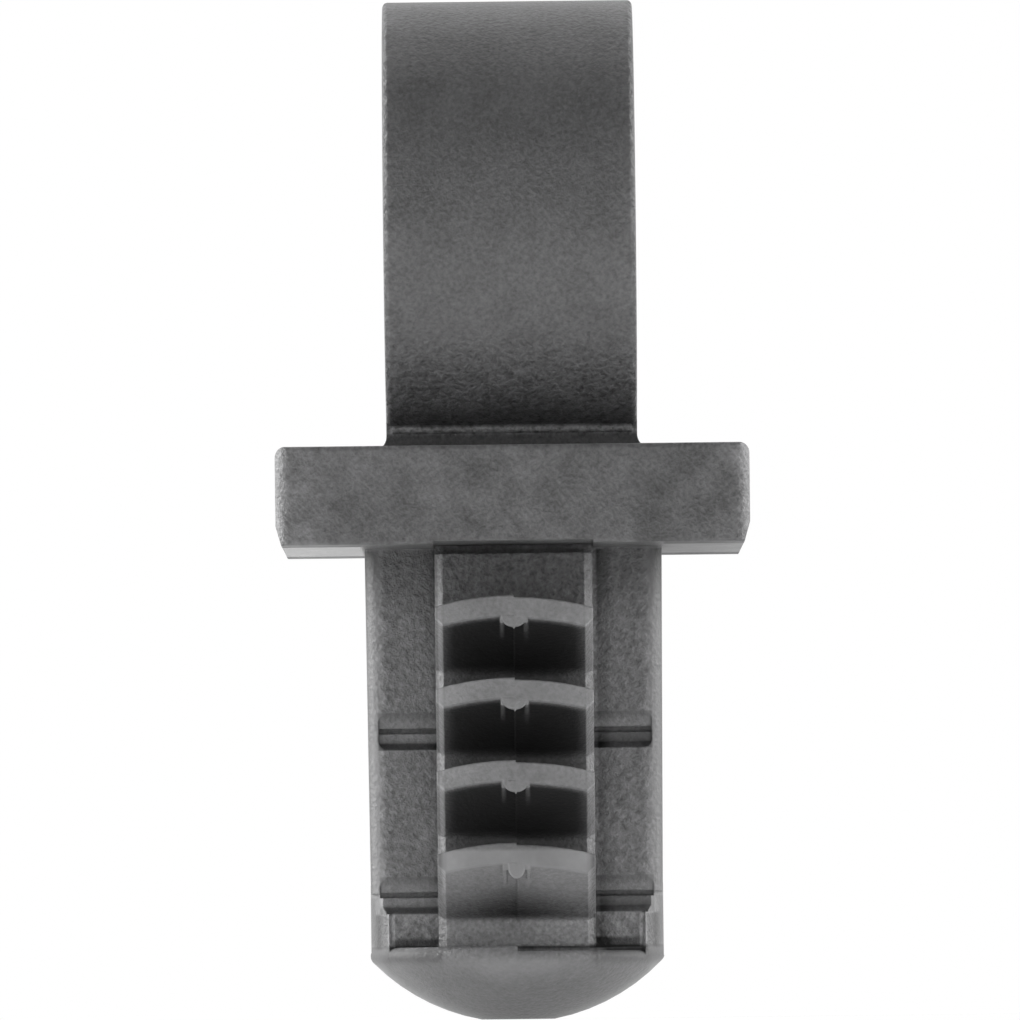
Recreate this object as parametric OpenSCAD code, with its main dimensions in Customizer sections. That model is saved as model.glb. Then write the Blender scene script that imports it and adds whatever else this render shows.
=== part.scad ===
// Push-in cable clip: one moulding with an open cable ring, a flange and a finned plug.
// Millimetres, +Z up. The flange's seat is at z = 0, the plug's axis is Z, the cable lies along X
// and the ring's mouth opens to the back, +Y.

/* [Cable ring] */
// Diameter of the cable or bundle that the ring holds
cable_d = 6.9; // [6.5:0.1:7.3]
// Play between the cable and the ring, across the diameter
cable_play = 0.1; // [0.04:0.01:0.2]
// Thickness of the ring's wall
ring_wall = 1.16; // [1:0.01:1.3]
// Width of the ring along the cable
ring_w = 5.25; // [4.2:0.05:6.5]
// Rounding of the ring's edges
ring_edge_r = 0.12; // [0.06:0.02:0.3]
// Height of the ring's lowest point above the flange
ring_lift = 0.19; // [0.14:0.01:0.3]
// Clear gap between the lips of the ring's mouth
mouth_gap = 4.8; // [4.4:0.1:5.2]
// Radius of the bead along each lip
lip_r = 0.68; // [0.6:0.02:0.8]

/* [Foot under the ring] */
// Thickness of the foot from front to back
foot_t = 3.4; // [2.6:0.1:3.8]
// Hollow rounding where the foot's ends meet the flange
foot_fillet_r = 0.3; // [0.2:0.02:0.4]
// Radius of the bead across the foot, just under the ring
foot_bead_r = 0.09; // [0.06:0.01:0.1]

/* [Flange] */
// Width of the flange along the cable
flange_w = 9.86; // [9:0.02:12]
// Depth of the flange from front to back
flange_d = 9; // [8.4:0.1:10]
// Thickness of the flange
flange_t = 2.05; // [1.8:0.01:2.6]
// Rounding of the flange's upright corners
flange_corner_r = 0.35; // [0.25:0.05:0.6]
// Setback of the seat's two ends behind the flange's ends
flange_taper_w = 0.12; // [0.08:0.02:0.24]
// Height over which the flange's ends taper in to the seat
flange_taper_h = 0.42; // [0.3:0.02:0.6]
// Rounding of the lower edge along the flange's front and back
flange_low_r = 0.06; // [0.04:0.01:0.1]
// Rounding of the upper edge along the flange's front and back
flange_top_r = 0.1; // [0.06:0.02:0.2]
// Rounding of the upper edge at the flange's two ends
flange_end_r = 0.22; // [0.14:0.02:0.34]
// Depth of the relief slot across the seat, over the fins
relief_h = 0.06; // [0.04:0.01:0.1]
// Room in the relief slot beside the fins, each side
relief_side = 0.02; // [0.01:0.01:0.1]

/* [Plug] */
// Diameter of the panel hole that takes the plug
hole_d = 6.5; // [6.4:0.05:6.7]
// Play between the plug and its hole, across the diameter
hole_play = 0.32; // [0.24:0.02:0.4]
// Length of the plug from the seat to the tip
plug_len = 9.87; // [9.75:0.03:10.38]
// Thickness of the plug's flat core from front to back
core_t = 2.8; // [2.6:0.05:3]
// Rounding of the core's upright edges
core_edge_r = 0.42; // [0.35:0.01:0.6]
// Setback of the core's sides from the nose's where they meet, each side
core_inset = 0.03; // [0.02:0.01:0.06]
// Draft of the core's sides, which are further apart at the seat, in degrees
core_draft = 0.45; // [0.2:0.05:0.6]
// Height of the domed nose, from its ledge to the tip
nose_h = 1.52; // [1.5:0.01:1.6]
// Radius of the nose's dome
nose_r = 4.23; // [4.18:0.01:4.4]
// Height that the flat on the tip takes off the dome
nose_flat = 0.07; // [0.04:0.01:0.1]
// Rounding between the nose's dome and its side
nose_side_r = 0.2; // [0.14:0.02:0.26]
// Rounding of the nose's upper edge
nose_edge_r = 0.16; // [0.12:0.02:0.2]
// Height above the nose's ledge up to which the core's sides are round
nose_wall_h = 1.15; // [1.05:0.05:1.3]
// Height of the ridge on either side of the lower pockets
nose_ridge_h = 0.7; // [0.5:0.02:0.74]
// Clear width of a lower pocket between its two ridges, at its floor
nose_pocket_w = 5.24; // [5:0.02:5.3]
// Slope of a ridge's inner side away from the pocket, in degrees
ridge_slope = 28; // [20:1:34]
// Drop of the right mould half's ledge below the left one
ledge_step = 0.1; // [0.04:0.01:0.12]
// Depth of the slit that this drop leaves under the right half of a bar
slit_run = 0.12; // [0.08:0.01:0.2]

/* [Fins] */
// Number of fins on each face of the plug
fin_n = 4; // [2:1:4]
// Distance from one fin to the next
fin_pitch = 1.715; // [1.68:0.005:1.75]
// Depth of the first fin's upper edge under the seat
fin_first = 1.06; // [1:0.02:1.12]
// Height of a fin's front edge
fin_land = 0.41; // [0.35:0.01:0.45]
// Slope of the fins above level, in degrees
fin_slope = 31.5; // [29:0.5:33]
// Hollow rounding where a fin's underside meets the bar
fin_fillet_r = 0.2; // [0.14:0.02:0.3]
// Diameter over the fins' front edges
fin_d = 7.9; // [7.6:0.05:8.1]
// Width of the fins and of the bar that carries them
fin_w = 3.28; // [2.98:0.05:3.48]
// Thickness over both bars that carry the fins
bar_t = 4.1; // [3.9:0.05:4.3]
// Bevel along the side edges of the bar and of the fins' undersides
bar_bevel = 0.16; // [0.1:0.01:0.2]
// Gap between the bar's upper end and the seat
bar_gap = 0.13; // [0.08:0.01:0.2]
// Width of the web under the middle of each fin
web_w = 0.58; // [0.4:0.02:0.8]
// Height of the web's front below the fin's edge
web_drop = 0.16; // [0.12:0.01:0.22]
// Length over which the web runs back into the fin's underside
web_run = 0.62; // [0.5:0.02:0.8]
// Height of the web's pointed middle below the fin's edge
web_tip = 0.3; // [0.24:0.01:0.36]
// Width of the thin gusset at either side of the web
gusset_w = 0.07; // [0.05:0.01:0.1]
// Drop of the right mould half's fins below the left one's
fin_step = 0.045; // [0.02:0.005:0.08]

/* [Side grooves] */
// Number of grooves beside the fins
groove_n = 2; // [1:1:2]
// Depth of the first groove's upper edge under the seat
groove_first = 3.43; // [3.37:0.03:3.49]
// Height of a groove
groove_h = 0.78; // [0.72:0.01:0.84]
// Length of a groove over both ends
groove_w = 5.72; // [5.5:0.02:5.8]
// Rounding of a groove's ends, seen from the front
groove_end_r = 0.2; // [0.1:0.02:0.3]
// Depth of a groove's floor below the core's face
groove_depth = 0.15; // [0.1:0.01:0.2]
// Share of a groove's height over which its upper side slopes in
groove_lip = 0.43; // [0.4:0.01:0.46]
// Height of the lower slope that leads out of a groove
groove_step = 0.13; // [0.08:0.01:0.16]
// Height of the slit in a groove's floor
slit_h = 0.11; // [0.08:0.01:0.14]
// Depth of the slit below a groove's floor
slit_depth = 0.2; // [0.1:0.02:0.26]

/* [Colour] */
// Colour of the moulding
clip_colour = "#4c4c4d";

/* [Hidden] */
$fn = 96;
over = 0.5;
sliver = 0.01;
ring_ir = (cable_d + cable_play) / 2;
ring_or = ring_ir + ring_wall;
ring_z = flange_t + ring_lift + ring_or;
lip_at_r = ring_ir + lip_r;
mouth_a = asin((mouth_gap / 2 + lip_r) / lip_at_r);
plug_r = (hole_d - hole_play) / 2;
core_w = 2 * (plug_r - core_inset);
wall_r = plug_r - core_inset / 2;
ledge_z = nose_h - plug_len;
wall_low_z = ledge_z - ledge_step - 0.8 * nose_edge_r;
wall_top_z = ledge_z + nose_wall_h;
ridge_top_z = ledge_z + nose_ridge_h;
dome_z = nose_r - nose_flat - plug_len;
fin_r = fin_d / 2;
fin_root_r = bar_t / 2 - over;
fin_t = fin_land * cos(fin_slope);
fin_run = (fin_r + over - fin_root_r) / cos(fin_slope);
fin_root_drop = (fin_r - fin_root_r) * tan(fin_slope);
groove_lip_h = groove_h * groove_lip;

cable_clip();

module cable_clip() {
    color(clip_colour) union() {
        ring();
        foot();
        flange();
        plug();
    }
}

// A rectangle about the origin with four round corners
module round_rect(w, h, r) {
    square([w - 2 * r, h], center = true);
    square([w, h - 2 * r], center = true);
    for (x = [r - w / 2, w / 2 - r], y = [r - h / 2, h / 2 - r]) {
        translate([x, y]) circle(r);
    }
}

// A rectangle standing on the origin, with its own rounding at the bottom and at the top
module standing_rect(w, h, r_low, r_top) {
    translate([-w / 2, r_low]) square([w, h - r_low - r_top]);
    translate([r_low - w / 2, 0]) square([w - 2 * r_low, h / 2]);
    translate([r_top - w / 2, h / 2]) square([w - 2 * r_top, h / 2]);
    for (s = [-1, 1]) {
        translate([s * (w / 2 - r_low), r_low]) circle(r_low);
        translate([s * (w / 2 - r_top), h - r_top]) circle(r_top);
    }
}

// Draws a profile of (y, z) and gives it a width along X, about the middle
module along_x(w) {
    rotate([90, 0, 90]) linear_extrude(w, center = true) children();
}

// Draws an outline of (x, z) and gives it a depth along Y, about the middle
module along_y(d) {
    rotate([90, 0, 0]) linear_extrude(d, center = true) children();
}

// The open ring, turned about the cable's axis, with a bead along each lip
module ring() {
    translate([0, 0, ring_z]) rotate([0, 90, 0]) {
        rotate([0, 0, 90 + mouth_a]) rotate_extrude(angle = 360 - 2 * mouth_a) {
            translate([ring_ir + ring_wall / 2, 0]) round_rect(ring_wall, ring_w, ring_edge_r);
        }
        for (s = [-1, 1]) {
            rotate([0, 0, 90 + s * mouth_a]) translate([lip_at_r, 0, 0]) lip_bead();
        }
    }
}

module lip_bead() {
    rotate_extrude() intersection() {
        round_rect(2 * lip_r, ring_w, ring_edge_r);
        translate([0, -ring_w / 2]) square([lip_r, ring_w]);
    }
}

// The foot fills the narrow space between the ring and the flange, with a bead under the ring
module foot() {
    top_z = ring_z - ring_ir - ring_wall / 2;
    bead_z = ring_z - sqrt(ring_or * ring_or - foot_t * foot_t / 4) - 0.8 * foot_bead_r;
    flare = foot_fillet_r;
    along_y(foot_t) difference() {
        translate([-ring_w / 2 - flare, flange_t / 2]) square([ring_w + 2 * flare, top_z - flange_t / 2]);
        for (s = [-1, 1]) {
            translate([s * (ring_w / 2 + flare), flange_t + flare]) circle(flare);
            translate([s * (ring_w / 2 + flare) - flare, flange_t + flare]) square([2 * flare, top_z]);
        }
    }
    along_x(ring_w - 2 * ring_edge_r) {
        for (s = [-1, 1]) {
            translate([s * foot_t / 2, bead_z]) circle(foot_bead_r);
        }
    }
}

// The flange is the shape common to its plan, its front and its side outline
module flange() {
    difference() {
        intersection() {
            linear_extrude(flange_t) round_rect(flange_w, flange_d, flange_corner_r);
            along_y(flange_d) flange_front();
            along_x(flange_w) standing_rect(flange_d, flange_t, flange_low_r, flange_top_r);
        }
        translate([-fin_w / 2 - relief_side, -flange_d, -over]) {
            cube([fin_w + 2 * relief_side, 2 * flange_d, over + relief_h]);
        }
    }
}

// The flange's front outline in (x, z), with ends that taper in to the seat
module flange_front() {
    end = flange_w / 2;
    polygon([
        [flange_taper_w - end, 0],
        [-end, flange_taper_h],
        [-end, flange_t - flange_end_r],
        [end, flange_t - flange_end_r],
        [end, flange_taper_h],
        [end - flange_taper_w, 0],
    ]);
    translate([flange_end_r - end, flange_t / 2]) square([flange_w - 2 * flange_end_r, flange_t / 2]);
    for (s = [-1, 1]) {
        translate([s * (end - flange_end_r), flange_t - flange_end_r]) circle(flange_end_r);
    }
}

module plug() {
    difference() {
        core();
        grooves();
    }
    nose();
    finned_bar();
    mirror([0, 1, 0]) finned_bar();
}

// The flat core, drafted above and round at its sides near the nose, with a ridge beside each lower pocket
module core() {
    for (m = [0, 1]) {
        mirror([m, 0, 0]) translate([0, 0, wall_top_z]) rotate([0, core_draft, 0]) {
            linear_extrude(flange_t / 2 - wall_top_z) half_core_plan();
        }
    }
    intersection() {
        translate([0, 0, wall_low_z]) cylinder(r = wall_r, h = wall_top_z - wall_low_z + over);
        union() {
            translate([-plug_r, -core_t / 2, wall_low_z]) {
                cube([2 * plug_r, core_t, wall_top_z - wall_low_z + nose_edge_r]);
            }
            translate([0, 0, wall_low_z]) linear_extrude(ridge_top_z - wall_low_z) {
                ridge_plan();
                mirror([1, 0]) ridge_plan();
            }
        }
    }
}

// The right half of the core, seen from above, with some overlap in the middle
module half_core_plan() {
    intersection() {
        round_rect(core_w, core_t, core_edge_r);
        translate([-over, -core_t]) square([core_w, 2 * core_t]);
    }
}

// The two ridges on the left, seen from above as one wedge: their inner sides slope away from the pockets
module ridge_plan() {
    tip = core_t / 2 * tan(ridge_slope) - nose_pocket_w / 2;
    end = plug_r + over;
    half = (tip + end) / tan(ridge_slope);
    polygon([
        [tip, 0],
        [-end, half],
        [-end, -half],
    ]);
}

// The domed nose in two mould halves, whose ledges don't quite meet
module nose() {
    rotate([0, 0, 90]) rotate_extrude(angle = 180) nose_profile(ledge_z);
    rotate([0, 0, -90]) rotate_extrude(angle = 180) nose_profile(ledge_z - ledge_step);
}

module nose_profile(top_z) {
    intersection() {
        dome_profile();
        union() {
            translate([0, -plug_len]) square([plug_r + over, top_z + plug_len - nose_edge_r]);
            translate([0, -plug_len]) square([plug_r - nose_edge_r, top_z + plug_len]);
            translate([plug_r - nose_edge_r, top_z - nose_edge_r]) circle(nose_edge_r);
        }
    }
}

// Half the outline of a dome under a round post, with the corner between them rounded
module dome_profile() {
    corner_x = plug_r - nose_side_r;
    corner_z = dome_z - sqrt(pow(nose_r - nose_side_r, 2) - pow(corner_x, 2));
    reach = nose_r / (nose_r - nose_side_r);
    touch_x = corner_x * reach;
    touch_z = dome_z + (corner_z - dome_z) * reach;
    intersection() {
        translate([0, dome_z]) circle(nose_r);
        translate([0, -plug_len]) square([touch_x, touch_z + plug_len]);
    }
    polygon([[0, touch_z], [touch_x, touch_z], [corner_x, corner_z], [0, corner_z]]);
    translate([corner_x, corner_z]) circle(nose_side_r);
    translate([0, corner_z]) square([plug_r, over]);
}

// The front bar with its row of sloping fins
module finned_bar() {
    low_z = ledge_z - ledge_step / 2;
    translate([0, 0, low_z]) linear_extrude(-low_z - bar_gap) half_bar_plan();
    translate([0, 0, ledge_z]) linear_extrude(-ledge_z - bar_gap) mirror([1, 0]) half_bar_plan();
    translate([-sliver, slit_run - bar_t / 2, ledge_z - 1.5 * ledge_step]) {
        cube([fin_w / 2 - slit_run, bar_t / 2 - slit_run, 2 * ledge_step]);
    }
    intersection() {
        translate([0, 0, ledge_z]) cylinder(r = fin_r, h = -ledge_z);
        for (i = [0 : fin_n - 1]) {
            translate([0, 0, -fin_first - i * fin_pitch]) {
                half_fin();
                translate([0, 0, -fin_step]) mirror([1, 0, 0]) half_fin();
                web();
            }
        }
    }
}

// The left half of the bar, seen from above, with its front edge bevelled
module half_bar_plan() {
    front = -bar_t / 2;
    side = -fin_w / 2;
    polygon([
        [0, 0],
        [side, 0],
        [side, front + bar_bevel],
        [side + bar_bevel, front],
        [0, front],
    ]);
}

// The left half of one fin, a plate that rises to the front, with its lower side edge bevelled
module half_fin() {
    root = [0, -fin_root_r, -fin_land - fin_root_drop];
    translate(root) rotate([90 - fin_slope, 0, 0]) linear_extrude(fin_run) {
        polygon([
            [0, 0],
            [bar_bevel - fin_w / 2, 0],
            [-fin_w / 2, bar_bevel],
            [-fin_w / 2, fin_t],
            [0, fin_t],
        ]);
    }
    width = fin_w / 2 - bar_bevel - sliver;
    translate([-width, 0, 0]) rotate([90, 0, 90]) linear_extrude(width) root_fillet();
}

// The hollow rounding in (y, z) between a fin's underside and the bar, which it meets at a slight angle
module root_fillet() {
    inside = fin_fillet_r / 2;
    corner = [-bar_t / 2, -fin_land - (fin_r - bar_t / 2) * tan(fin_slope)];
    gap = fin_fillet_r - sliver;
    reach = gap / sin(45 + fin_slope / 2);
    centre = corner + reach * [cos(225 - fin_slope / 2), sin(225 - fin_slope / 2)];
    under = centre + (gap + inside) * [sin(fin_slope), cos(fin_slope)];
    difference() {
        polygon([
            centre,
            [corner[0] + inside, centre[1]],
            [corner[0] + inside, under[1]],
            under,
        ]);
        translate(centre) circle(fin_fillet_r);
    }
}

// The web under the middle of a fin, pointed in its middle, with a thin gusset at either side
module web() {
    intersection() {
        along_y(2 * fin_d) web_front();
        along_x(2 * web_w) gusset(web_tip, web_run);
    }
    for (s = [-1, 1]) {
        translate([s * ((web_w - gusset_w) / 2 - sliver), 0, 0]) along_x(gusset_w) {
            gusset(web_drop - sliver, fin_r - bar_t / 2);
        }
    }
}

module web_front() {
    low = -fin_land - web_drop;
    polygon([
        [-web_w / 2, -fin_land / 2],
        [-web_w / 2, low],
        [-web_w / 6, low + sliver],
        [0, -fin_land - web_tip],
        [web_w / 6, low + sliver],
        [web_w / 2, low],
        [web_w / 2, -fin_land / 2],
    ]);
}

// The side outline of a gusset in (y, z), which runs back into the fin's underside
module gusset(drop, run) {
    front = 0.03 - fin_r;
    polygon([
        [front, -fin_land / 2],
        [front, -fin_land - drop],
        [run - fin_r, -fin_land / 2 - run * tan(fin_slope)],
    ]);
}

// The grooves across the core's two faces, as the spaces to be cut
module grooves() {
    for (i = [0 : groove_n - 1], m = [0, 1]) {
        translate([0, 0, -groove_first - i * 2 * fin_pitch]) mirror([0, m, 0]) intersection() {
            translate([0, 0, -groove_h / 2]) along_y(core_t + 2 * over) {
                round_rect(groove_w, groove_h, groove_end_r);
            }
            along_x(groove_w + over) groove_profile();
        }
    }
}

// The space of a groove in (y, z): it slopes in, has a slit in its floor, and slopes out
module groove_profile() {
    face = -core_t / 2;
    floor_y = face + groove_depth;
    slit_z = -groove_lip_h - slit_h;
    polygon([
        [face - over / 2, over],
        [face - sliver, 0],
        [floor_y, -groove_lip_h],
        [floor_y + slit_depth, -groove_lip_h],
        [floor_y + slit_depth, slit_z],
        [floor_y, slit_z],
        [floor_y, groove_step - groove_h],
        [face - sliver, -groove_h],
        [face - over / 2, -groove_h - over],
    ]);
}
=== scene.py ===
from math import pi, radians

import bmesh
import bpy
from mathutils import Matrix, Vector


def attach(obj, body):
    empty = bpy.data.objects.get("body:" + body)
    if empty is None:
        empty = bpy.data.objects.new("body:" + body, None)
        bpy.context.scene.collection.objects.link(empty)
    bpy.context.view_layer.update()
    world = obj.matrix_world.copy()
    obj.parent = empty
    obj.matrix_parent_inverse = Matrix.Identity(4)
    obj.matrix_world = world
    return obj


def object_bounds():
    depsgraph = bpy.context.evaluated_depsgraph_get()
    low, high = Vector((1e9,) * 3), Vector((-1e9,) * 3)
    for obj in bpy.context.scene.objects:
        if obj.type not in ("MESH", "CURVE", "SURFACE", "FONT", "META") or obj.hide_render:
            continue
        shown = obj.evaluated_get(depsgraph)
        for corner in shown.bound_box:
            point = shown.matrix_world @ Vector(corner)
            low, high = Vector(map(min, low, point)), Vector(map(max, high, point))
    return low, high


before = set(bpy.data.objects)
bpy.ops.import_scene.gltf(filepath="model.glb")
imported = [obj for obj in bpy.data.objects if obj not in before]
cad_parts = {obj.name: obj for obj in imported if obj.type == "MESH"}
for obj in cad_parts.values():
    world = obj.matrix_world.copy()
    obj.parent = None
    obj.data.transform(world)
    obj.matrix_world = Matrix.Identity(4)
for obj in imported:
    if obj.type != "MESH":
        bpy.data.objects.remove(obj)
cad_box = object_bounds()
scene = bpy.context.scene

# The clip: one injection moulding of dark grey nylon 6.6, with the ring, flange and plug in one piece.
# The mould was spark-eroded, so the nylon has a fine grain, coarsest on the flat cheeks of the plug, and the
# fins come from a smoother insert.
MM = 0.001
NYLON_DARK = "#3e3e3e"
NYLON_PALE = "#717172"
NYLON_IOR = 1.53


def linear(hex_colour):
    """An sRGB hex value as the linear colour that Blender's sockets take."""
    parts = [int(hex_colour[i:i + 2], 16) / 255 for i in (1, 3, 5)]
    return tuple(c / 12.92 if c <= 0.04045 else ((c + 0.055) / 1.055) ** 2.4 for c in parts) + (1.0,)


def node(tree, kind, settings=None, inputs=None):
    """Adds a node: settings are its own properties, inputs are socket values or sockets to link from."""
    made = tree.nodes.new(kind)
    for name, value in (settings or {}).items():
        setattr(made, name, value)
    for name, value in (inputs or {}).items():
        if isinstance(value, bpy.types.NodeSocket):
            tree.links.new(value, made.inputs[name])
        else:
            made.inputs[name].default_value = value
    return made


def material(name):
    """A new material, its empty node tree and its output."""
    made = bpy.data.materials.new(name)
    made.use_nodes = True
    made.node_tree.nodes.clear()
    return made, made.node_tree, made.node_tree.nodes.new("ShaderNodeOutputMaterial")


# Moulded nylon 6.6: a dull satin plastic. The grain breaks up its reflections and makes the cheeks sparkle a little.
# Edges are rubbed paler, the seat is smooth, and the spaces between the fins are smooth, with painted shade in them.
RING_HEIGHT = 6.9
nylon, tree, output = material("moulded_nylon_66")
place = node(tree, "ShaderNodeTexCoord").outputs["Object"]
plan = node(tree, "ShaderNodeVectorMath", {"operation": "MULTIPLY"}, {0: place, 1: (1.0, 1.0, 0.0)}).outputs[0]
upright = node(tree, "ShaderNodeVectorMath", {"operation": "MULTIPLY"}, {0: place, 1: (0.0, 1.0, 1.0)}).outputs[0]
folded = node(tree, "ShaderNodeVectorMath", {"operation": "ABSOLUTE"}, {0: place}).outputs[0]
across = node(tree, "ShaderNodeSeparateXYZ", None, {0: folded})
signed = node(tree, "ShaderNodeSeparateXYZ", None, {0: place})
axes = {
    "x": across.outputs["X"],
    "right": signed.outputs["X"],
    "y": across.outputs["Y"],
    "z": signed.outputs["Z"],
    "r": node(tree, "ShaderNodeVectorMath", {"operation": "LENGTH"}, {0: plan}).outputs["Value"],
    "ring": node(tree, "ShaderNodeVectorMath", {"operation": "DISTANCE"},
                 {0: upright, 1: (0.0, 0.0, RING_HEIGHT * MM)}).outputs["Value"],
}
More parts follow.
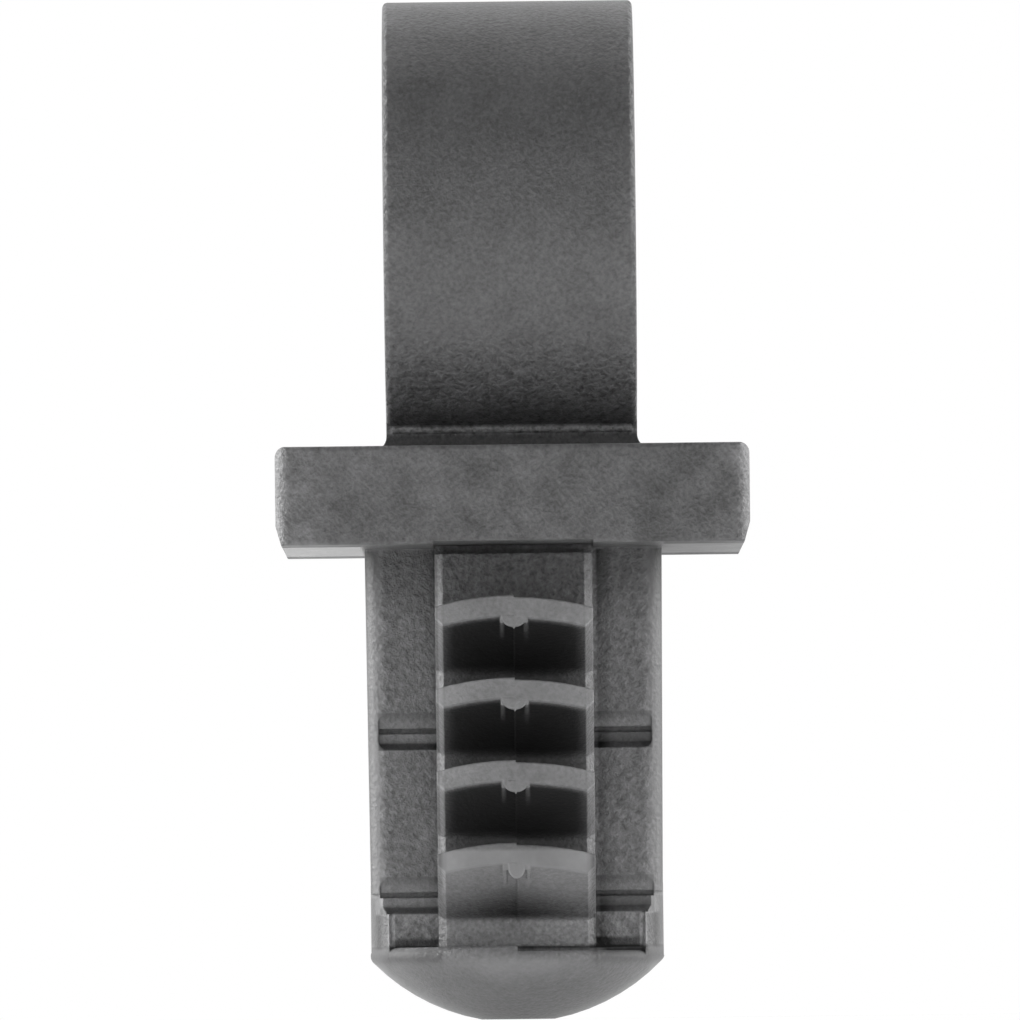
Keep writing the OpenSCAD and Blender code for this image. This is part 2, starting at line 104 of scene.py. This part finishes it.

# Each zone lies where all its ramps have risen: an axis, with the millimetres at which its ramp starts and ends.
# X and Y are measured from the middle to both sides, right from the middle to the right, R from the plug's axis and
# ring from the cable's. A zone changes the tone, the roughness, the radius of the edges in millimetres, or the
# strength of the grain, the pits, the mottle or the scuffs.
# Many tone changes below are painted light and shade: painted highlights where light falls, and painted shade in
# hollows, under parts and on the right.
FLANGE = (("z", -0.05, 0.0), ("z", 2.2, 2.1))
SEAT = (("z", 0.05, 0.02), ("z", -0.05, -0.02))
UNDER_SEAT = ("z", 0.0, -0.06)
BESIDE_BAR = ("x", 1.62, 1.68)
FIN_EDGES = ("r", 3.86, 3.9)
OVER_LOWEST_FIN = ("z", -6.36, -6.26)
OVER_FOOT = ("z", -6.5, -6.3)
OVER_NOSE = ("z", -8.45, -8.3)
zones = [
    # The ring's lower part, where the mould is rougher, a painted highlight on the bead under the ring, and painted
    # shade under the bead and under the ring above it
    ((("z", 4.6, 3.2), ("z", 2.2, 2.4), ("ring", 4.3, 4.5)), {"pits": 1.6, "grain": 0.8}),
    ((("y", 1.62, 1.7), ("y", 1.9, 1.84), ("z", 2.33, 2.43), ("z", 2.6, 2.49)), {"tone": 1.2}),
    ((("x", 2.7, 2.66), ("z", 2.06, 2.1), ("z", 2.43, 2.37)), {"tone": -0.35}),
    ((("x", 2.7, 2.66), ("z", 2.5, 2.58), ("z", 3.0, 2.7)), {"tone": -0.3}),
    # The ring, with painted highlights towards its edges, on its top and on its lower front, and painted shade on its
    # outermost rim and on its upper front
    ((("x", 1.9, 2.6), ("z", 2.9, 3.4)), {"tone": 0.14}),
    ((("x", 2.53, 2.6), ("z", 2.9, 3.4)), {"tone": -0.4}),
    ((("z", 10.5, 11.2),), {"tone": 0.2}),
    ((("z", 3.4, 4.4), ("z", 7.0, 5.8)), {"tone": 0.1}),
    ((("z", 7.6, 8.8), ("z", 10.3, 9.6)), {"tone": -0.1}),
    # The flange, scuffed by handling, with painted highlights on its ends, most on the left, and painted shade on its
    # right part
    ((("z", -0.05, 0.0), ("z", 2.2, 2.0)), {"tone": 0.17, "mottle": 0.9, "pits": 0.35, "scuffs": 0.4}),
    ((("x", 3.3, 4.7),) + FLANGE, {"tone": 0.4}),
    ((("right", 1.9, 3.0), ("right", 4.8, 4.4)) + FLANGE, {"tone": -0.2}),
    ((("right", -3.9, -4.3), ("right", -4.75, -4.5)) + FLANGE, {"tone": 0.12}),
    # The flange's smooth seat, with an outer band and the faint line between them, duller on the right
    ((("x", 3.1, 3.2),) + SEAT, {"roughness": -0.17, "grain": -0.9}),
    ((("x", 3.1, 3.2), ("y", 3.2, 3.3)) + SEAT, {"roughness": 0.25}),
    ((("x", 3.1, 3.2), ("y", 2.95, 3.1), ("y", 3.4, 3.25)) + SEAT, {"tone": -0.4, "roughness": 0.25}),
    ((("right", 3.1, 3.2),) + SEAT, {"roughness": 0.2}),
    # The plug's pitted cheeks, with painted light lower down, painted shade under the flange and beside the bar, and
    # a painted shadow of the bar on the right
    ((BESIDE_BAR, ("x", 2.95, 2.75), UNDER_SEAT, OVER_NOSE), {"tone": 0.68, "pits": 1.0}),
    ((BESIDE_BAR, ("x", 2.95, 2.75), ("z", -3.0, -7.0), OVER_NOSE), {"tone": 0.25}),
    ((BESIDE_BAR, UNDER_SEAT, ("z", -1.9, -0.2)), {"tone": -0.75}),
    ((BESIDE_BAR, ("x", 1.9, 1.68), UNDER_SEAT, OVER_NOSE), {"tone": -0.3}),
    ((("right", 1.7, 1.77), ("right", 2.15, 1.82), UNDER_SEAT, OVER_NOSE), {"tone": -0.6}),
    ((("right", 1.58, 1.62), ("right", 2.0, 1.75), ("z", -7.65, -7.75), OVER_NOSE), {"tone": -0.8}),
    # The plug's smooth round sides, with a painted highlight that is weaker at their outer edge, and a painted pale
    # line that hides the shadow at their step
    ((("x", 2.7, 2.85), UNDER_SEAT), {"tone": 0.25, "grain": -0.8, "pits": -0.2}),
    ((("x", 2.92, 3.04), UNDER_SEAT, ("z", -8.4, -8.2)), {"tone": -0.5}),
    ((("x", 2.84, 2.9), ("z", -7.18, -7.21), ("z", -7.32, -7.28)), {"tone": 0.4}),
    # The pockets over the nose, with painted light on them and painted highlights on their sloping sides, and painted
    # shade beside them and in their lower corners
    ((BESIDE_BAR, ("x", 2.68, 2.6), ("z", -7.6, -7.7), OVER_NOSE), {"tone": 0.72, "pits": 0.4}),
    ((("x", 2.54, 2.58), ("x", 2.71, 2.64), ("z", -7.62, -7.7), ("z", -8.4, -8.3)), {"tone": 1.8, "pits": -1.2}),
    ((("x", 2.67, 2.75), ("x", 3.05, 2.86), ("z", -7.62, -7.7), ("z", -8.42, -8.3)), {"tone": -1.35, "pits": -1.0}),
    ((BESIDE_BAR, ("x", 2.68, 2.6), ("y", 1.6, 1.5), ("z", -8.12, -8.22), ("z", -8.4, -8.36)), {"tone": -1.8}),
    # The spaces between the fins, smooth, with painted shade in them, and painted highlights on the gussets in them
    ((("r", 3.92, 3.74), ("y", 2.06, 2.3), ("x", 1.7, 1.22), ("z", -1.15, -1.35), OVER_LOWEST_FIN),
     {"tone": -0.86, "grain": -0.9}),
    ((("r", 3.5, 3.3), ("y", 2.3, 2.06), ("y", 1.95, 2.02), ("x", 1.6, 0.9), ("z", -1.5, -1.6), OVER_LOWEST_FIN),
     {"tone": -0.55}),
    ((("r", 3.93, 3.8), ("r", 3.0, 3.8), ("x", 0.17, 0.24), ("x", 0.33, 0.26), ("z", -1.3, -1.4)), {"tone": 0.6}),
    # The fins' edges, smooth, with a painted highlight that is weaker on the lowest fin and at their ends
    ((FIN_EDGES, ("z", -0.9, -1.0)), {"tone": 1.0, "grain": -0.7}),
    ((FIN_EDGES, ("z", -6.1, -6.2)), {"tone": -0.55}),
    ((FIN_EDGES, ("x", 1.42, 1.5), ("z", -0.9, -1.0)), {"tone": -0.35}),
    # The lowest fin's underside, with painted light from below and painted shade towards its middle, and painted
    # light on the bar under it
    ((("y", 2.2, 3.3), ("x", 1.6, 1.5), ("z", -6.3, -6.4)), {"tone": 0.95, "grain": -0.6}),
    ((("x", 1.6, 0.0), ("y", 2.0, 2.1), ("z", -6.8, -7.3), ("z", -7.8, -7.66)), {"tone": -0.8}),
    ((("y", 2.25, 2.1), ("y", 1.9, 2.0), ("x", 1.52, 1.46), ("z", -7.7, -7.85), ("z", -8.45, -8.35)), {"tone": 1.3}),
    ((("right", -0.2, 0.6), ("right", 1.54, 1.46), ("y", 2.25, 2.1), ("z", -7.7, -7.85), ("z", -8.45, -8.35)),
     {"tone": 0.35}),
    # The bar's face under the flange, and painted highlights and painted shade on its bevelled side edges, which
    # differ on the left and the right
    ((("y", 1.9, 2.0), ("y", 2.3, 2.15), ("x", 1.54, 1.46), ("z", -0.05, -0.1), ("z", -1.4, -1.2)),
     {"pits": 1.2, "grain": 0.5}),
    ((("x", 1.46, 1.5), ("x", 1.68, 1.65), UNDER_SEAT, OVER_FOOT), {"tone": 0.5}),
    ((("right", -1.57, -1.6), ("right", -1.69, -1.665), UNDER_SEAT, OVER_FOOT), {"tone": -0.55}),
    ((("right", -1.5, -1.53), ("right", -1.6, -1.57), UNDER_SEAT, OVER_FOOT), {"tone": 0.15}),
    ((("right", 1.63, 1.66), ("right", 1.76, 1.7), UNDER_SEAT, ("z", -3.5, -3.3)), {"tone": 0.45}),
    # The nose's dome, with painted light and a painted highlight across its tip, painted shade at the ends of its
    # rim, and painted light in the slot over its right half
    ((("z", -8.5, -8.75),), {"tone": 0.42, "grain": -0.6, "pits": -0.1}),
    ((("y", 1.2, 0.2), ("z", -8.6, -8.9)), {"tone": 0.6}),
    ((("z", -8.25, -8.4),), {"edge": 0.2}),
    ((("x", 1.3, 2.0), ("z", -8.3, -8.36), ("z", -8.8, -8.5)), {"tone": -0.4, "grain": -0.8, "roughness": 0.15}),
    ((("right", -0.02, 0.02), ("right", 1.9, 1.7), ("y", 2.4, 2.3), ("z", -8.38, -8.42), ("z", -8.56, -8.52)),
     {"tone": 2.0}),
]
GROOVE_TOPS = (-3.43, -6.86)
GROOVE_END = ("x", 2.9, 2.84)
for top in GROOVE_TOPS:
    beside = (BESIDE_BAR, GROOVE_END)
    zones += [
        # A side groove is smooth, with painted shade at its upper edge and along its lower one, painted light on the
        # band between them, and more painted shade on the right
        (beside + (("z", top + 0.02, top - 0.02), ("z", top - 0.8, top - 0.76)), {"pits": -0.9, "grain": -0.4}),
        (beside + (("z", top + 0.01, top - 0.03), ("z", top - 0.22, top - 0.02)), {"tone": -0.55}),
        (beside + (("z", top - 0.1, top - 0.3), ("z", top - 0.62, top - 0.45)), {"tone": 0.4}),
        (beside + (("right", 0.5, -0.5), ("z", top - 0.58, top - 0.7), ("z", top - 0.8, top - 0.78)), {"tone": -1.2}),
        ((("right", 1.62, 1.68), GROOVE_END, ("z", top - 0.38, top - 0.44), ("z", top - 0.8, top - 0.76)),
         {"tone": -1.0}),
    ]
zoned = {"tone": 1.0, "roughness": 0.42, "grain": 1.35, "pits": 0.2, "mottle": 0.5, "scuffs": 0.0, "edge": 0.05}
for ramps, changes in zones:
    mask = 1.0
    for axis, start, end in ramps:
        mask = node(tree, "ShaderNodeMapRange", {"interpolation_type": "SMOOTHSTEP"},
                    {"Value": axes[axis], "From Min": start * MM, "From Max": end * MM,
                     "To Max": mask}).outputs["Result"]
    for name, change in changes.items():
        zoned[name] = node(tree, "ShaderNodeMath", {"operation": "MULTIPLY_ADD"},
                           {0: mask, 1: change, 2: zoned[name]}).outputs[0]

# The patterns' sizes in millimetres along X, Y and Z, slanted about Y. The real grain, of about 0.02 mm, is too fine
# to show in the render, so it is drawn as coarse as it needs to show.
PATTERN_SIZES = {
    "mottle": (0.9, 0.9, 0.9),
    "scuffs": (0.5, 0.12, 0.06),
    "grain": (0.09, 0.09, 0.09),
    "pits": (0.2, 0.2, 0.2),
}
RAISED = ("grain", "pits")
RELIEF = 0.03
SLANT = radians(50)
speckle = 0.5
height = 0.0
for name, size in PATTERN_SIZES.items():
    spread = node(tree, "ShaderNodeMapping", {"vector_type": "TEXTURE"},
                  {"Vector": place, "Rotation": (0.0, SLANT, 0.0), "Scale": [s * MM for s in size]}).outputs[0]
    noise = node(tree, "ShaderNodeTexNoise", None,
                 {"Vector": spread, "Scale": 1.0, "Detail": 3.0, "Roughness": 0.6}).outputs["Fac"]
    swing = node(tree, "ShaderNodeMath", {"operation": "SUBTRACT"}, {0: noise, 1: 0.5}).outputs[0]
    speckle = node(tree, "ShaderNodeMath", {"operation": "MULTIPLY_ADD"},
                   {0: swing, 1: zoned[name], 2: speckle}).outputs[0]
    if name in RAISED:
        height = node(tree, "ShaderNodeMath", {"operation": "MULTIPLY_ADD"},
                      {0: swing, 1: zoned[name], 2: height}).outputs[0]
colour = node(tree, "ShaderNodeMix", {"data_type": "RGBA"},
              {0: speckle, 6: linear(NYLON_DARK), 7: linear(NYLON_PALE)}).outputs[2]

# Edges are rounded a little, and rubbed a little paler where the rounded surface turns away from the sharp one.
EDGE_SAMPLES = 6
EDGE_WEAR = 1.1
edge_radius = node(tree, "ShaderNodeMath", {"operation": "MULTIPLY"}, {0: zoned["edge"], 1: MM}).outputs[0]
rounded = node(tree, "ShaderNodeBevel", {"samples": EDGE_SAMPLES}, {"Radius": edge_radius}).outputs["Normal"]
facing = node(tree, "ShaderNodeNewGeometry").outputs["Normal"]
edge = node(tree, "ShaderNodeVectorMath", {"operation": "DOT_PRODUCT"}, {0: rounded, 1: facing}).outputs["Value"]
worn = node(tree, "ShaderNodeMapRange", None,
            {"Value": edge, "From Min": 0.99, "From Max": 0.8, "To Min": 1.0, "To Max": EDGE_WEAR}).outputs["Result"]
tone = node(tree, "ShaderNodeMath", {"operation": "MULTIPLY"}, {0: zoned["tone"], 1: worn}).outputs[0]
toned = node(tree, "ShaderNodeVectorMath", {"operation": "SCALE"}, {0: colour, "Scale": tone}).outputs[0]
relief = node(tree, "ShaderNodeBump", None, {"Distance": RELIEF * MM, "Height": height, "Normal": rounded})
shader = node(tree, "ShaderNodeBsdfPrincipled", None,
              {"Base Color": toned, "Roughness": zoned["roughness"], "IOR": NYLON_IOR,
               "Normal": relief.outputs["Normal"]})
tree.links.new(shader.outputs["BSDF"], output.inputs["Surface"])
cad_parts["cable_clip"].material_slots[0].material = nylon

# The webs' ends: under the middle of each fin its web ends in a small rounded lug, flush with the fin's edge.
# The lugs are moulded with the fins, of the same nylon, at the plug's front and back. Each is given by half its
# width and its drop under the fin's edge, in millimetres, and the lowest is narrower.
FIN_FIRST = 1.06
FIN_PITCH = 1.715
FIN_LAND = 0.41
LUG_SIZES = ((0.285, 0.26), (0.285, 0.26), (0.285, 0.26), (0.2, 0.34))
LUG_FRONT = -3.935
LUG_DEPTH = 0.55
LUG_ROUND = 0.05
LUG_CREASE = radians(30)
LUG_SEGMENTS = 32
ROUND_SEGMENTS = 4
FLUSH = 0.001
shape = bmesh.new()
for i, (half_width, drop) in enumerate(LUG_SIZES):
    fin_edge = -FIN_FIRST - i * FIN_PITCH - FIN_LAND
    standing = (Matrix.Translation((0.0, LUG_FRONT, fin_edge)) @ Matrix.Rotation(pi / 2, 4, "X")
                @ Matrix.Diagonal((half_width, drop, 1.0, 1.0)))
    disc = bmesh.ops.create_circle(shape, cap_ends=True, segments=LUG_SEGMENTS, radius=1.0, matrix=standing)["verts"]
    face = disc[0].link_faces[0]
    cut = bmesh.ops.bisect_plane(shape, geom=disc + list(face.edges) + [face], dist=FLUSH, clear_outer=True,
                                 plane_co=(0.0, LUG_FRONT, fin_edge), plane_no=(0.0, 0.0, 1.0))["geom"]
    face = next(part for part in cut if isinstance(part, bmesh.types.BMFace))
    back = bmesh.ops.extrude_face_region(shape, geom=[face])["geom"]
    bmesh.ops.translate(shape, verts=[part for part in back if isinstance(part, bmesh.types.BMVert)],
                        vec=(0.0, LUG_DEPTH, 0.0))
    rim = [side for side in face.edges if min(corner.co.z for corner in side.verts) < fin_edge - FLUSH]
    bmesh.ops.bevel(shape, geom=rim, offset=LUG_ROUND, affect="EDGES", segments=ROUND_SEGMENTS, profile=0.5,
                    material=-1)
bmesh.ops.mirror(shape, geom=shape.verts[:] + shape.edges[:] + shape.faces[:], axis="Y", merge_dist=FLUSH)
bmesh.ops.scale(shape, verts=shape.verts[:], vec=(MM, MM, MM))
bmesh.ops.recalc_face_normals(shape, faces=shape.faces[:])
for face in shape.faces:
    face.smooth = True
lug_mesh = bpy.data.meshes.new("web_ends")
shape.to_mesh(lug_mesh)
shape.free()
lug_mesh.set_sharp_from_angle(angle=LUG_CREASE)
lug_mesh.materials.append(nylon)
lugs = bpy.data.objects.new("web_ends", lug_mesh)
scene.collection.objects.link(lugs)
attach(lugs, "root")

# The floor: a sheet of white studio paper, on which the clip's nose stands. Seen directly or in a reflection it is
# plain white far away, and near the clip it keeps a share of its own shading, with the clip's soft shadow.
FLOOR_SIDE = 6.0
PAPER_MATT = "#f4f4f4"
PAPER_WHITE = "#ffffff"
SHADOW_NEAR = 0.03
SHADOW_FAR = 0.15
WHITE_SHARE_NEAR = 0.85
paper, tree, output = material("white_studio_paper")
matt = node(tree, "ShaderNodeBsdfDiffuse", None, {"Color": linear(PAPER_MATT)})
white = node(tree, "ShaderNodeEmission", None, {"Color": linear(PAPER_WHITE), "Strength": 1.0})
ray = node(tree, "ShaderNodeLightPath")
seen = ray.outputs["Is Camera Ray"]
for kind in ("Is Glossy Ray", "Is Transmission Ray"):
    seen = node(tree, "ShaderNodeMath", {"operation": "MAXIMUM"}, {0: seen, 1: ray.outputs[kind]}).outputs[0]
away = node(tree, "ShaderNodeVectorMath", {"operation": "LENGTH"},
            {0: node(tree, "ShaderNodeTexCoord").outputs["Object"]}).outputs["Value"]
whiteness = node(tree, "ShaderNodeMapRange", {"interpolation_type": "SMOOTHSTEP"},
                 {"Value": away, "From Min": SHADOW_NEAR, "From Max": SHADOW_FAR,
                  "To Min": WHITE_SHARE_NEAR}).outputs["Result"]
share = node(tree, "ShaderNodeMath", {"operation": "MULTIPLY"}, {0: seen, 1: whiteness}).outputs[0]
sheet = node(tree, "ShaderNodeMixShader", None, {0: share, 1: matt.outputs[0], 2: white.outputs[0]})
tree.links.new(sheet.outputs[0], output.inputs["Surface"])
floor_mesh = bpy.data.meshes.new("studio_floor")
shape = bmesh.new()
bmesh.ops.create_grid(shape, x_segments=1, y_segments=1, size=FLOOR_SIDE / 2)
shape.to_mesh(floor_mesh)
shape.free()
floor_mesh.materials.append(paper)
floor = bpy.data.objects.new("studio_floor", floor_mesh)
floor.location.z = cad_box[0].z
scene.collection.objects.link(floor)

# The light: a white room whose ceiling is unlit above the camera, and a softbox on either side, the left one a
# little brighter.
UNLIT_TOWARDS = (0.0, -0.53, 0.85)
UNLIT_STRENGTH = 0.05
SOFTBOX_SIDE = 0.3
world = bpy.data.worlds.new("white_room")
scene.world = world
world.use_nodes = True
tree = world.node_tree
tree.nodes.clear()
towards = node(tree, "ShaderNodeTexCoord").outputs["Generated"]
ceiling = node(tree, "ShaderNodeVectorMath", {"operation": "DOT_PRODUCT"}, {0: towards, 1: UNLIT_TOWARDS})
strength = node(tree, "ShaderNodeMapRange", {"interpolation_type": "SMOOTHSTEP"},
                {"Value": ceiling.outputs["Value"], "From Min": 0.45, "From Max": 0.85, "To Min": 1.0,
                 "To Max": UNLIT_STRENGTH}).outputs["Result"]
room = node(tree, "ShaderNodeBackground", None, {"Color": linear(PAPER_WHITE), "Strength": strength})
tree.links.new(room.outputs[0], node(tree, "ShaderNodeOutputWorld").inputs["Surface"])
for name, at, watts in (
        ("softbox_left", (-0.3, 0.05, 0.06), 1.9),
        ("softbox_right", (0.3, 0.05, 0.06), 1.3)):
    light = bpy.data.lights.new(name, "AREA")
    light.size = SOFTBOX_SIDE
    light.energy = watts
    lamp = bpy.data.objects.new(name, light)
    lamp.rotation_euler = (-Vector(at)).to_track_quat("-Z", "Y").to_euler()
    lamp.location = at
    scene.collection.objects.link(lamp)

# The camera: at the finned face through a long lens, from two degrees below the level and turned by a little over
# half a degree, as in the photograph.
LENS = 503.0
SENSOR_WIDTH = 36.0
CLIP_START = 0.01
PHOTO_SIDE = 1020
PIXELS_PER_MM = 47.5
VIEW_CENTRE = (-0.055 * MM, 0.0, 0.842 * MM)
TILT = radians(2.0)
ROLL = radians(-0.65)
camera_data = bpy.data.cameras.new("camera")
camera_data.lens = LENS
camera_data.sensor_width = SENSOR_WIDTH
camera_data.clip_start = CLIP_START
distance = PHOTO_SIDE / PIXELS_PER_MM * MM * LENS / SENSOR_WIDTH
camera = bpy.data.objects.new("camera", camera_data)
turned = Matrix.Rotation(pi / 2 + TILT, 4, "X") @ Matrix.Rotation(ROLL, 4, "Z")
camera.matrix_world = Matrix.Translation(VIEW_CENTRE) @ turned @ Matrix.Translation((0.0, 0.0, distance))
scene.collection.objects.link(camera)
scene.camera = camera

scene.view_settings.view_transform = "Standard"
